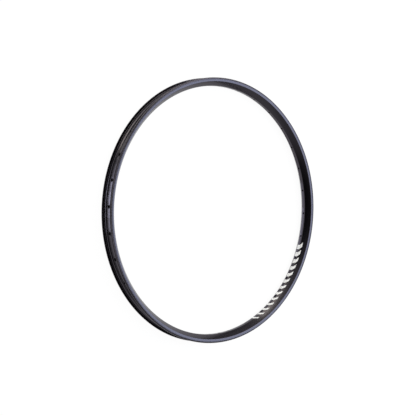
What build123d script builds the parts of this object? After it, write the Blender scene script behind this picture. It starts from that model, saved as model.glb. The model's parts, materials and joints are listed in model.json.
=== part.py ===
"""A wide aluminium bicycle rim for disc brakes: a hollow extrusion rolled into a ring.

The rim lies flat on its side. Its axle line is Z, its middle plane is XY and its centre is the origin.
A point of its section is written as (radius, z), where z is the distance from the middle plane.
"""

import os
from math import asin, atan2, degrees, sin, sqrt

from build123d import *

# Tyre fit, in millimetres
BEAD_SEAT_DIAMETER = 622.0
INTERNAL_WIDTH = 30.0
FLANGE_HEIGHT = 6.0
FLANGE_THICKNESS = 3.25
FLANGE_BEVEL = 1.6

# Outer form: a flat side band, then a side wall that slopes in to the spoke bed
RIM_DEPTH = 19.6
SIDE_BAND_HEIGHT = 9.1
SPOKE_BED_WIDTH = 9.4

# Tyre bed: a centre well between two bead shelves
WELL_WIDTH = 13.6
WELL_DEPTH = 2.4
SHELF_WIDTH = 5.0

# Walls around the chamber
TYRE_BED_WALL = 1.1
SIDE_WALL = 1.0
SPOKE_BED_WALL = 2.0

# Holes, all drilled along a radius
SPOKE_COUNT = 32
SPOKE_HOLE_DIAMETER = 4.5
ACCESS_HOLE_DIAMETER = 8.0
VALVE_HOLE_DIAMETER = 6.5
VALVE_ANGLE = -90.0

# Radii and half widths that follow from the sizes above
BEAD_SEAT_RADIUS = BEAD_SEAT_DIAMETER / 2
OUTER_RADIUS = BEAD_SEAT_RADIUS + FLANGE_HEIGHT
BEVEL_RADIUS = OUTER_RADIUS - FLANGE_BEVEL
BAND_RADIUS = OUTER_RADIUS - SIDE_BAND_HEIGHT
INNER_RADIUS = OUTER_RADIUS - RIM_DEPTH
WELL_RADIUS = BEAD_SEAT_RADIUS - WELL_DEPTH
UNDER_SHELF_RADIUS = BEAD_SEAT_RADIUS - TYRE_BED_WALL
UNDER_WELL_RADIUS = WELL_RADIUS - TYRE_BED_WALL
CHAMBER_FLOOR_RADIUS = INNER_RADIUS + SPOKE_BED_WALL
HALF_INSIDE = INTERNAL_WIDTH / 2
HALF_OUTSIDE = HALF_INSIDE + FLANGE_THICKNESS

# Ends of the sloping lines of the section, on its +z side
WELL_EDGE = (WELL_RADIUS, WELL_WIDTH / 2)
SHELF_EDGE = (BEAD_SEAT_RADIUS, HALF_INSIDE - SHELF_WIDTH)
SPOKE_BED_EDGE = (INNER_RADIUS, SPOKE_BED_WIDTH / 2)
BAND_EDGE = (BAND_RADIUS, HALF_OUTSIDE)


def beside(radius, foot, head, thickness):
    """The point, at a radius, of the line that runs beside the one from foot to head at that thickness."""
    rise = head[0] - foot[0]
    run = head[1] - foot[1]
    return (radius, foot[1] + (radius - foot[0]) * run / rise + thickness / sin(atan2(rise, run)))


def on_arc(radius, z):
    """The point of the arc about the rim's centre that has that z."""
    return (sqrt(radius**2 - z**2), z)


def arc(radius, half_width):
    """A wall of the section that is round about the rim's centre, so that drilled holes meet it squarely."""
    half_angle = degrees(asin(half_width / radius))
    return CenterArc((0, 0), radius, -half_angle, 2 * half_angle)


def outline(outer_radius, inner_radius, side):
    """A closed outline that is alike on both sides, from its points on the +z side between two arcs."""
    points = [on_arc(outer_radius, side[0][1]), *side[1:-1], on_arc(inner_radius, side[-1][1])]
    with BuildLine() as line:
        arc(outer_radius, side[0][1])
        arc(inner_radius, side[-1][1])
        Polyline(*points)
        Polyline(*[(radius, -z) for radius, z in points])
    return make_face(line.line)


def outer_face():
    side = [
        WELL_EDGE,
        SHELF_EDGE,
        (BEAD_SEAT_RADIUS, HALF_INSIDE),
        (OUTER_RADIUS, HALF_INSIDE),
        (OUTER_RADIUS, HALF_OUTSIDE - FLANGE_BEVEL),
        (BEVEL_RADIUS, HALF_OUTSIDE),
        BAND_EDGE,
        SPOKE_BED_EDGE,
    ]
    return outline(WELL_RADIUS, INNER_RADIUS, side)


def chamber_face():
    side = [
        beside(UNDER_WELL_RADIUS, WELL_EDGE, SHELF_EDGE, TYRE_BED_WALL),
        beside(UNDER_SHELF_RADIUS, WELL_EDGE, SHELF_EDGE, TYRE_BED_WALL),
    ]
    # Where the side band reaches below the bead seat, the chamber reaches out behind it.
    if BAND_RADIUS < UNDER_SHELF_RADIUS:
        side.append((UNDER_SHELF_RADIUS, HALF_OUTSIDE - SIDE_WALL))
    wall_head = beside(min(BAND_RADIUS, UNDER_SHELF_RADIUS), SPOKE_BED_EDGE, BAND_EDGE, -SIDE_WALL)
    wall_foot = beside(CHAMBER_FLOOR_RADIUS, SPOKE_BED_EDGE, BAND_EDGE, -SIDE_WALL)
    return outline(UNDER_WELL_RADIUS, CHAMBER_FLOOR_RADIUS, [*side, wall_head, wall_foot])


def drill(diameter, start, end):
    """A round cut along +X, between two distances from the rim's centre."""
    bore = Rot(Y=90) * Cylinder(diameter / 2, end, align=(Align.CENTER, Align.CENTER, Align.MIN))
    return split(bore, Plane.YZ.offset(start))


def drilled_holes():
    """Spoke holes with access holes opposite them, and the valve hole midway between two of them."""
    spokes = PolarLocations(0, SPOKE_COUNT, VALVE_ANGLE + 180 / SPOKE_COUNT)
    before = INNER_RADIUS - SPOKE_BED_WALL
    spoke_hole = drill(SPOKE_HOLE_DIAMETER, before, CHAMBER_FLOOR_RADIUS + SPOKE_BED_WALL)
    access_hole = drill(ACCESS_HOLE_DIAMETER, UNDER_WELL_RADIUS - TYRE_BED_WALL, OUTER_RADIUS)
    valve_hole = drill(VALVE_HOLE_DIAMETER, before, OUTER_RADIUS)
    return [*(spokes * spoke_hole), *(spokes * access_hole), Rot(Z=VALVE_ANGLE) * valve_hole]


section = Plane.XZ * (outer_face() - chamber_face())
rim = revolve(section, Axis.Z) - drilled_holes()
rim.label = "rim"
os.makedirs("parts", exist_ok=True)
export_step(rim, "parts/rim.step")
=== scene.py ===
"""Dresses the bicycle rim: a finer ring with rounded edges, a black anodised finish and a white studio.

Lengths are in metres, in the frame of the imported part. The rim lies flat and its axle line is Z.
A point of its section is written as (radius, z), where z is the distance from the middle plane.
"""

import json
from math import ceil, cos, hypot, pi, radians, sin, tan

import bpy
from mathutils import Matrix, Vector


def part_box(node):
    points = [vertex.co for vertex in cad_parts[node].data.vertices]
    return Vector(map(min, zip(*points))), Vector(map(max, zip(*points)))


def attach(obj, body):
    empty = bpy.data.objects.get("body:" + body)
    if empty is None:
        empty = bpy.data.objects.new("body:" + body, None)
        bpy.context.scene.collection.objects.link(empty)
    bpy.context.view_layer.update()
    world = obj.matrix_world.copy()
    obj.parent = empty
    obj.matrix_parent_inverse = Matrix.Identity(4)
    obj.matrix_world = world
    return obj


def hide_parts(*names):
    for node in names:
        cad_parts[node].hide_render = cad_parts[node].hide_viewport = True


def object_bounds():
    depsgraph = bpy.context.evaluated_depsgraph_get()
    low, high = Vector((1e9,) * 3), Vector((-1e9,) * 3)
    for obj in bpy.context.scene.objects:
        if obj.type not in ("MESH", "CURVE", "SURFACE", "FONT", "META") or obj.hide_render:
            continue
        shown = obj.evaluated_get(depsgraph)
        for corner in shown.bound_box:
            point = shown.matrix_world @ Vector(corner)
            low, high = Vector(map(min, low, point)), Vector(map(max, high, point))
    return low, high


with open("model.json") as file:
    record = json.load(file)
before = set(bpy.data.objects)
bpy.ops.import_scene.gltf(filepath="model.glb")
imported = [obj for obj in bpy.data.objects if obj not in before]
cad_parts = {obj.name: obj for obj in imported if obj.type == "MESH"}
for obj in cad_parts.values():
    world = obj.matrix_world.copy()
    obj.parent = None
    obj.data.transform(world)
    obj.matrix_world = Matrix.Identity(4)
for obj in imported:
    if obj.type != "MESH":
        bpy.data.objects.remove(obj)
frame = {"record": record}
CAD_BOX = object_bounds()

MM = 0.001

# Section of the rim. From its crest, the side band falls slightly towards the side wall.
FLANGE_HEIGHT = 6.0 * MM
FLANGE_THICKNESS = 3.25 * MM
RIM_DEPTH = 19.6 * MM
SIDE_BAND_HEIGHT = 9.1 * MM
BAND_CREST = 6.0 * MM
BAND_FALL = 0.27 * MM
SPOKE_BED_WIDTH = 9.4 * MM
WELL_WIDTH = 13.6 * MM
WELL_DEPTH = 2.4 * MM
SHELF_WIDTH = 5.0 * MM
TYRE_BED_WALL = 1.1 * MM
SIDE_WALL = 1.0 * MM
SPOKE_BED_WALL = 2.0 * MM
ACCESS_HOLE_RADIUS = 4.0 * MM

# Roundings along the edges of the extrusion and at the holes
FLANGE_ROUNDING = 2.4 * MM
LIP_ROUNDING = 0.5 * MM
SEAT_ROUNDING = 1.0 * MM
SHELF_ROUNDING = 5.0 * MM
WELL_ROUNDING = 1.0 * MM
CREST_ROUNDING = 30.0 * MM
BAND_ROUNDING = 0.8 * MM
SPOKE_BED_ROUNDING = 2.5 * MM
HOLE_EDGE_BREAK = 0.3 * MM

# Print on the side wall. Its pitch divides that of the spokes, so that its bars pass between the holes.
PRINT_START = radians(-67.5)
PRINT_PITCH = radians(3.75)
PRINT_BARS = 13
PRINT_THICKNESS = 0.06 * MM

# Shares of the side wall that a bar covers, and of the pitch that it takes, grows by and leans by
PRINT_WALL_SHARE = 0.3
PRINT_BAR_SHARE = 0.3
PRINT_BAR_GROWTH = 0.3
PRINT_SLANT = 0.4

# Fineness of the meshes
RING_STEPS = 384
HOLE_STEPS = 40
PRINT_STEPS = 4
ROUNDING_STEP = radians(12)
SHARP_EDGE = radians(40)

# Camera: its angles about the rim, its distance, and how far it stands to the side and up
VIEW_TURN = radians(39.75)
VIEW_RISE = radians(2.2)
VIEW_ROLL = radians(-2.7)
VIEW_DISTANCE = 2.853
VIEW_ASIDE = -0.0156
VIEW_UP = 0.0056
LENS_MM = 102.9
SENSOR_MM = 36.0

# Colours of the surfaces
BLACK_TINTS = ((0.053, 0.048, 0.057, 1), (0.067, 0.061, 0.072, 1))
GRAZING_TINT = (0.85, 0.85, 0.86, 1)
INK_TINTS = ((0.88, 0.88, 0.88, 1), (0.95, 0.95, 0.95, 1))
FLOOR_WHITE = (0.93, 0.93, 0.94, 1)
PURE_WHITE = (1, 1, 1, 1)

# Colours of the lamps
WHITE = (1.0, 1.0, 1.0)
WARM = (1.0, 0.97, 0.78)
COOL = (0.78, 0.85, 1.0)
BLUE = (0.71, 0.83, 1.0)

# Radii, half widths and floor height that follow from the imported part's box
low_corner, high_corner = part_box("rim")
OUTER = min(high_corner.x, high_corner.y, -low_corner.x, -low_corner.y)
BEAD_SEAT = OUTER - FLANGE_HEIGHT
WELL = BEAD_SEAT - WELL_DEPTH
BAND = OUTER - SIDE_BAND_HEIGHT
INNER = OUTER - RIM_DEPTH
HALF_OUTSIDE = (high_corner.z - low_corner.z) / 2
HALF_INSIDE = HALF_OUTSIDE - FLANGE_THICKNESS
HALF_WELL = WELL_WIDTH / 2
HALF_SPOKE_BED = SPOKE_BED_WIDTH / 2
FLOOR = CAD_BOX[0].z


def both_sides(side):
    """A closed list of corners from those of the +z side."""
    return side + [(radius, -z, rounding) for radius, z, rounding in reversed(side)]


def outer_corners():
    """Corners of the section's outside, as (radius, z, rounding)."""
    return both_sides([
        (WELL, HALF_WELL, WELL_ROUNDING),
        (BEAD_SEAT, HALF_INSIDE - SHELF_WIDTH, SHELF_ROUNDING),
        (BEAD_SEAT, HALF_INSIDE, SEAT_ROUNDING),
        (OUTER, HALF_INSIDE, LIP_ROUNDING),
        (OUTER, HALF_OUTSIDE, FLANGE_ROUNDING),
        (OUTER - BAND_CREST, HALF_OUTSIDE, CREST_ROUNDING),
        (BAND, HALF_OUTSIDE - BAND_FALL, BAND_ROUNDING),
        (INNER, HALF_SPOKE_BED, SPOKE_BED_ROUNDING),
    ])


def chamber_corners():
    """Corners of the hollow between the tyre bed, the side walls and the spoke bed, with no roundings."""
    slope = (HALF_OUTSIDE - HALF_SPOKE_BED) / (BAND - INNER)
    wall_across = SIDE_WALL * hypot(1, slope)
    top = BEAD_SEAT - TYRE_BED_WALL
    bottom = INNER + SPOKE_BED_WALL
    return both_sides([
        (WELL - TYRE_BED_WALL, HALF_WELL + TYRE_BED_WALL / 2, 0),
        (top, HALF_INSIDE - SHELF_WIDTH + TYRE_BED_WALL / 2, 0),
        (top, HALF_OUTSIDE - SIDE_WALL, 0),
        (BAND, HALF_OUTSIDE - wall_across, 0),
        (bottom, HALF_SPOKE_BED + slope * SPOKE_BED_WALL - wall_across, 0),
    ])


def rounded(corners):
    """The closed outline through corners of (radius, z, rounding), with an arc at each rounded one."""
    points = []
    for index, (radius, z, rounding) in enumerate(corners):
        corner = Vector((radius, z))
        back = (Vector(corners[index - 1][:2]) - corner).normalized()
        ahead = (Vector(corners[(index + 1) % len(corners)][:2]) - corner).normalized()
        if not rounding:
            points.append(corner)
            continue
        turn = pi - back.angle(ahead)
        reach = rounding * tan(turn / 2)
        centre = corner + (back + ahead).normalized() * rounding / cos(turn / 2)
        start = corner + back * reach - centre
        end = corner + ahead * reach - centre
        steps = ceil(turn / ROUNDING_STEP)
        for step in range(steps + 1):
            part = turn * step / steps
            points.append(centre + (start * sin(turn - part) + end * sin(part)) / sin(turn))
    return points


def around(point, angle):
    """A point of the section, turned about the axle line."""
    return Vector((point[0] * cos(angle), point[0] * sin(angle), point[1]))


def ring(points, hollow):
    """Vertices and faces of a closed outline that is turned about the axle line."""
    vertices = []
    faces = []
    count = len(points)
    for step in range(RING_STEPS):
        vertices += [around(point, 2 * pi * step / RING_STEPS) for point in points]
        here = step * count
        there = (step + 1) % RING_STEPS * count
        for index in range(count):
            after = (index + 1) % count
            face = (there + index, there + after, here + after, here + index)
            faces.append(face[::-1] if hollow else face)
    return vertices, faces


def drill_bit(way, profile):
    """Vertices and faces of a bit along a radius, from pairs of distance from the centre and bit radius."""
    across = Vector((-way.y, way.x, 0))
    vertices = []
    faces = [tuple(reversed(range(HOLE_STEPS)))]
    for level, (distance, radius) in enumerate(profile):
        start = level * HOLE_STEPS
        before = start - HOLE_STEPS
        for step in range(HOLE_STEPS):
            angle = 2 * pi * step / HOLE_STEPS
            beside = way * distance + across * radius * cos(angle)
            vertices.append(beside + Vector((0, 0, radius * sin(angle))))
            after = (step + 1) % HOLE_STEPS
            if level:
                faces.append((before + step, before + after, start + after, start + step))
    faces.append(tuple(range(start, start + HOLE_STEPS)))
    return vertices, faces


def drill_bits():
    """A bit for each bore of the part, which also breaks the edges that it leaves on both beds."""
    margin = 0.5 * MM
    flare = HOLE_EDGE_BREAK + margin
    middle = (WELL + INNER) / 2
    bits = []
    for mount in frame["record"]["mounts"]:
        if mount["kind"] != "bore":
            continue
        hole = mount["dims"]["r_mm"] * MM
        outward = hole if mount["name"] == "valve_hole" else ACCESS_HOLE_RADIUS
        bits.append(drill_bit(Vector(mount["axis"]), [
            (INNER - margin, hole + flare),
            (INNER + HOLE_EDGE_BREAK, hole),
            (middle, hole),
            (middle + margin, outward),
            (WELL - HOLE_EDGE_BREAK, outward),
            (WELL + margin, outward + flare),
        ]))
    return bits


def mesh_object(name, pieces):
    """An object from pairs of vertices and faces."""
    vertices = []
    faces = []
    for piece_vertices, piece_faces in pieces:
        start = len(vertices)
        vertices += piece_vertices
        faces += [tuple(start + index for index in face) for face in piece_faces]
    mesh = bpy.data.meshes.new(name)
    mesh.from_pydata(vertices, [], faces)
    made = bpy.data.objects.new(name, mesh)
    bpy.context.scene.collection.objects.link(made)
    return made


def build_rim():
    rim = mesh_object("anodised_rim", [
        ring(rounded(outer_corners()), hollow=False),
        ring(rounded(chamber_corners()), hollow=True),
    ])
    bits = mesh_object("drill_bits", drill_bits())
    cut = rim.modifiers.new("holes", "BOOLEAN")
    cut.object = bits
    cut.solver = "EXACT"
    bpy.context.view_layer.objects.active = rim
    bpy.ops.object.modifier_apply(modifier=cut.name)
    bpy.data.objects.remove(bits)
    rim.data.shade_smooth()
    rim.data.set_sharp_from_angle(angle=SHARP_EDGE)
    return rim


def print_profile():
    """Points of the section under the print, from the side wall round its foot and across the spoke bed."""
    head = (BAND, HALF_OUTSIDE - BAND_FALL, 0)
    foot = (INNER, HALF_SPOKE_BED, SPOKE_BED_ROUNDING)
    wall = rounded([head, foot, (INNER, 0, 0)])
    arc = wall[1:-1]
    return [arc[0].lerp(wall[0], PRINT_WALL_SHARE), *arc, Vector((INNER, -arc[-1].y))]


def print_plate(profile):
    """The closed outline of a thin plate that lies on a run of points of the section."""
    lifted = []
    for index, point in enumerate(profile):
        along = profile[min(index + 1, len(profile) - 1)] - profile[max(index - 1, 0)]
        lifted.append(point + Vector((along.y, -along.x)).normalized() * PRINT_THICKNESS)
    return profile + lifted[::-1]


def print_bar(plate, start, width):
    """Vertices and faces of a slanted bar, which is the plate's outline turned through a width."""
    count = len(plate)
    along = count // 2
    high = plate[0].x
    low = plate[along - 1].x
    vertices = []
    for step in range(PRINT_STEPS + 1):
        for point in plate:
            slant = PRINT_PITCH * PRINT_SLANT * (point.x - low) / (high - low)
            vertices.append(around(point, start + width * step / PRINT_STEPS + slant))
    faces = []
    for index in range(along - 1):
        cap = (index, index + 1, count - 2 - index, count - 1 - index)
        faces.append(cap[::-1])
        faces.append(tuple(PRINT_STEPS * count + corner for corner in cap))
    for step in range(PRINT_STEPS):
        here = step * count
        for index in range(count):
            after = (index + 1) % count
            faces.append((here + index, here + after, here + count + after, here + count + index))
    return vertices, faces


def build_print():
    """Plain slanted bars on the side wall, which widen from the first to the last."""
    plate = print_plate(print_profile())
    bars = []
    for bar in range(PRINT_BARS):
        width = PRINT_PITCH * (PRINT_BAR_SHARE + PRINT_BAR_GROWTH * bar / PRINT_BARS)
        start = PRINT_START + bar * PRINT_PITCH - width / 2
        bars.append(print_bar(plate, start, width))
    return mesh_object("side_print", bars)


def new_tree(owner):
    owner.use_nodes = True
    owner.node_tree.nodes.clear()
    return owner.node_tree


def add(tree, kind, inputs, **settings):
    """A new node with its settings, whose inputs get values or links."""
    node = tree.nodes.new("ShaderNode" + kind)
    for name, value in settings.items():
        setattr(node, name, value)
    for key, value in inputs.items():
        if isinstance(value, bpy.types.NodeSocket):
            tree.links.new(value, node.inputs[key])
        else:
            node.inputs[key].default_value = value
    return node


def calculate(tree, operation, *values):
    inputs = dict(enumerate(values))
    return add(tree, "Math", inputs, operation=operation).outputs[0]


def remap(tree, value, old, new, **settings):
    """A value carried from an old range to a new one, and kept within it."""
    inputs = {"Value": value, "From Min": old[0], "From Max": old[1], "To Min": new[0], "To Max": new[1]}
    return add(tree, "MapRange", inputs, **settings).outputs[0]


def mixed_colour(tree, share, colours):
    """A colour between two. Inputs 6 and 7 and output 2 are the colour sockets of the Mix node."""
    inputs = {0: share, 6: colours[0], 7: colours[1]}
    return add(tree, "Mix", inputs, data_type="RGBA").outputs[2]


def noise(tree, place, scale, detail):
    return add(tree, "TexNoise", {"Vector": place, "Scale": scale, "Detail": detail}).outputs[0]


def bump(tree, height, strength, distance, **inputs):
    """A relief of the surface, on top of another one where the inputs give it as Normal."""
    inputs |= {"Height": height, "Strength": strength, "Distance": distance}
    return add(tree, "Bump", inputs).outputs[0]


def die_lines(tree, place):
    """Noise that is long round the rim and fine across it, like the lines left by an extrusion die."""
    around_scale = 7.0
    across_scale = 900.0
    parts = add(tree, "SeparateXYZ", {0: place}).outputs
    flat = add(tree, "CombineXYZ", {"X": parts["X"], "Y": parts["Y"]}).outputs[0]
    radius = add(tree, "VectorMath", {0: flat}, operation="LENGTH").outputs["Value"]
    fourth = calculate(tree, "MULTIPLY", radius, across_scale)
    stretch = (around_scale, around_scale, across_scale)
    stretched = add(tree, "VectorMath", {0: place, 1: stretch}, operation="MULTIPLY").outputs[0]
    inputs = {"Vector": stretched, "W": fourth, "Scale": 1.0, "Detail": 3.0, "Roughness": 0.6}
    return add(tree, "TexNoise", inputs, noise_dimensions="4D").outputs[0]


def anodised():
    """Black anodised aluminium with die lines, a fine blasted grain and cloudy gloss."""
    cloud_roughness = 0.06
    material = bpy.data.materials.new("black_anodised")
    tree = new_tree(material)
    place = add(tree, "TexCoord", {}).outputs["Object"]
    lines = die_lines(tree, place)
    grain = noise(tree, place, scale=2600.0, detail=2.0)
    clouds = noise(tree, place, scale=14.0, detail=3.0)
    line_roughness = remap(tree, lines, old=(0.3, 0.7), new=(0.13, 0.2))
    line_relief = bump(tree, lines, strength=0.25, distance=0.04 * MM)
    shader = add(tree, "BsdfPrincipled", {
        "Base Color": mixed_colour(tree, lines, BLACK_TINTS),
        "Metallic": 1.0,
        "Roughness": calculate(tree, "MULTIPLY_ADD", clouds, cloud_roughness, line_roughness),
        "Specular Tint": GRAZING_TINT,
        "Normal": bump(tree, grain, strength=0.15, distance=0.02 * MM, Normal=line_relief),
    })
    add(tree, "OutputMaterial", {"Surface": shader.outputs[0]})
    return material


def white_ink():
    """White ink with a fine speckle."""
    material = bpy.data.materials.new("white_ink")
    tree = new_tree(material)
    place = add(tree, "TexCoord", {}).outputs["Object"]
    speckle = noise(tree, place, scale=900.0, detail=2.0)
    shader = add(tree, "BsdfPrincipled", {
        "Base Color": mixed_colour(tree, speckle, INK_TINTS),
        "Roughness": 0.45,
        "Normal": bump(tree, speckle, strength=0.1, distance=0.02 * MM),
    })
    add(tree, "OutputMaterial", {"Surface": shader.outputs[0]})
    return material


def white_floor():
    """White to the camera and in reflections, with a faint shadow of the rim."""
    white_share = 0.9
    white_strength = 1.05
    material = bpy.data.materials.new("white_floor")
    tree = new_tree(material)
    path = add(tree, "LightPath", {}).outputs
    seen = calculate(tree, "MAXIMUM", path["Is Camera Ray"], path["Is Glossy Ray"])
    seen = calculate(tree, "MAXIMUM", seen, path["Is Transmission Ray"])
    share = calculate(tree, "MULTIPLY", seen, white_share)
    matt = add(tree, "BsdfDiffuse", {"Color": FLOOR_WHITE}).outputs[0]
    glow = add(tree, "Emission", {"Color": PURE_WHITE, "Strength": white_strength}).outputs[0]
    mixed = add(tree, "MixShader", {0: share, 1: matt, 2: glow}).outputs[0]
    add(tree, "OutputMaterial", {"Surface": mixed})
    return material


def build_floor():
    reach = 40.0
    corners = [
        Vector((-reach, -reach, FLOOR)),
        Vector((reach, -reach, FLOOR)),
        Vector((reach, reach, FLOOR)),
        Vector((-reach, reach, FLOOR)),
    ]
    floor = mesh_object("floor", [(corners, [(0, 1, 2, 3)])])
    floor.data.materials.append(white_floor())


def build_world():
    """A dim studio that is darkest on the camera's left, and white below the horizon as the floor is."""
    world = bpy.data.worlds.new("studio")
    tree = new_tree(world)
    way = add(tree, "TexCoord", {}).outputs["Generated"]
    parts = add(tree, "SeparateXYZ", {0: way}).outputs
    studio = remap(tree, parts["X"], old=(-0.88, -0.45), new=(0.03, 0.38), interpolation_type="SMOOTHSTEP")
    below = remap(tree, parts["Z"], old=(0.0, 0.005), new=(1.0, 0.0))
    level = calculate(tree, "MAXIMUM", studio, below)
    sky = add(tree, "Background", {"Color": PURE_WHITE, "Strength": level}).outputs[0]
    add(tree, "OutputWorld", {"Surface": sky})
    bpy.context.scene.world = world


def build_camera():
    back = Vector((-sin(VIEW_TURN) * cos(VIEW_RISE), sin(VIEW_RISE), cos(VIEW_TURN) * cos(VIEW_RISE)))
    right = Vector((0, 1, 0)).cross(back).normalized()
    up = back.cross(right)
    camera = bpy.data.objects.new("camera", bpy.data.cameras.new("camera"))
    camera.data.sensor_width = SENSOR_MM
    camera.data.lens = LENS_MM
    place = Matrix((right, up, back)).transposed().to_4x4()
    place.translation = back * VIEW_DISTANCE + right * VIEW_ASIDE + up * VIEW_UP
    camera.matrix_world = Matrix.Rotation(VIEW_ROLL, 4, "Z") @ place
    bpy.context.scene.collection.objects.link(camera)
    bpy.context.scene.camera = camera


def area_lamp(name, colour, width, length, brightness):
    """A rectangular lamp that the camera doesn't see, whose face shows the brightness given."""
    light = bpy.data.lights.new(name, "AREA")
    light.shape = "RECTANGLE"
    light.size = width
    light.size_y = length
    light.energy = brightness * pi * width * length
    light.color = colour
    lamp = bpy.data.objects.new(name, light)
    lamp.visible_camera = False
    bpy.context.scene.collection.objects.link(lamp)
    return lamp


def softbox(name, colour, way, distance, size, brightness):
    """A lamp in a direction from the rim's centre, which it faces."""
    lamp = area_lamp(name, colour, *size, brightness)
    lamp.location = Matrix.Rotation(VIEW_ROLL, 3, "Z") @ Vector(way).normalized() * distance
    lamp.rotation_mode = "QUATERNION"
    lamp.rotation_quaternion = lamp.location.to_track_quat("Z", "Y")


def floor_strips(name, colour, radius, width, length, strips):
    """Strip lights on the floor, along an arc about the rim's centre, from (degrees, brightness) pairs."""
    lift = 0.2 * MM
    for index, (degrees, brightness) in enumerate(strips):
        angle = radians(degrees) + VIEW_ROLL
        lamp = area_lamp(f"{name}_{index}", colour, width, length, brightness)
        lamp.location = around((radius, FLOOR + lift), angle)
        lamp.rotation_euler = (pi, 0, angle)


def build_lamps():
    """Softboxes about the rim, and strips on the floor close to its outside and its inside."""
    softbox("key_softbox", BLUE, (0.656, -0.04, 0.755), distance=2.2, size=(1.18, 0.68), brightness=4.3)
    softbox("top_softbox", WHITE, (-0.1, 0.0, 1.0), distance=2.0, size=(1.4, 1.4), brightness=1.7)
    softbox("back_softbox", WHITE, (0.5, 0.6, 0.62), distance=2.1, size=(1.2, 1.2), brightness=3.2)
    softbox("warm_softbox", WARM, (-0.33, 0.93, 0.23), distance=2.0, size=(2.1, 0.65), brightness=3.5)
    softbox("front_softbox", WHITE, (0.15, -0.97, 0.17), distance=2.0, size=(3.0, 0.7), brightness=0.22)
    near = [(147, 1.0), (153, 1.0)]
    streak = [(161, 1.2), (167, 5.0), (173, 6.8), (179, 5.6), (185, 3.2)]
    inner = [(-19, 1.2), (-7, 1.8), (5, 0.9)]
    floor_strips("near_strip", WARM, OUTER + 2.3 * MM, width=2.0 * MM, length=33 * MM, strips=near)
    floor_strips("streak_strip", COOL, OUTER + 6.2 * MM, width=4.4 * MM, length=33 * MM, strips=streak)
    floor_strips("inner_strip", COOL, INNER - 15.5 * MM, width=9.0 * MM, length=64 * MM, strips=inner)


rim = build_rim()
rim.data.materials.append(anodised())
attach(rim, "root")
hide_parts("rim")

side_print = build_print()
side_print.data.materials.append(white_ink())
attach(side_print, "root")

build_floor()
build_world()
build_camera()
build_lamps()
bpy.context.scene.view_settings.view_transform = "Standard"
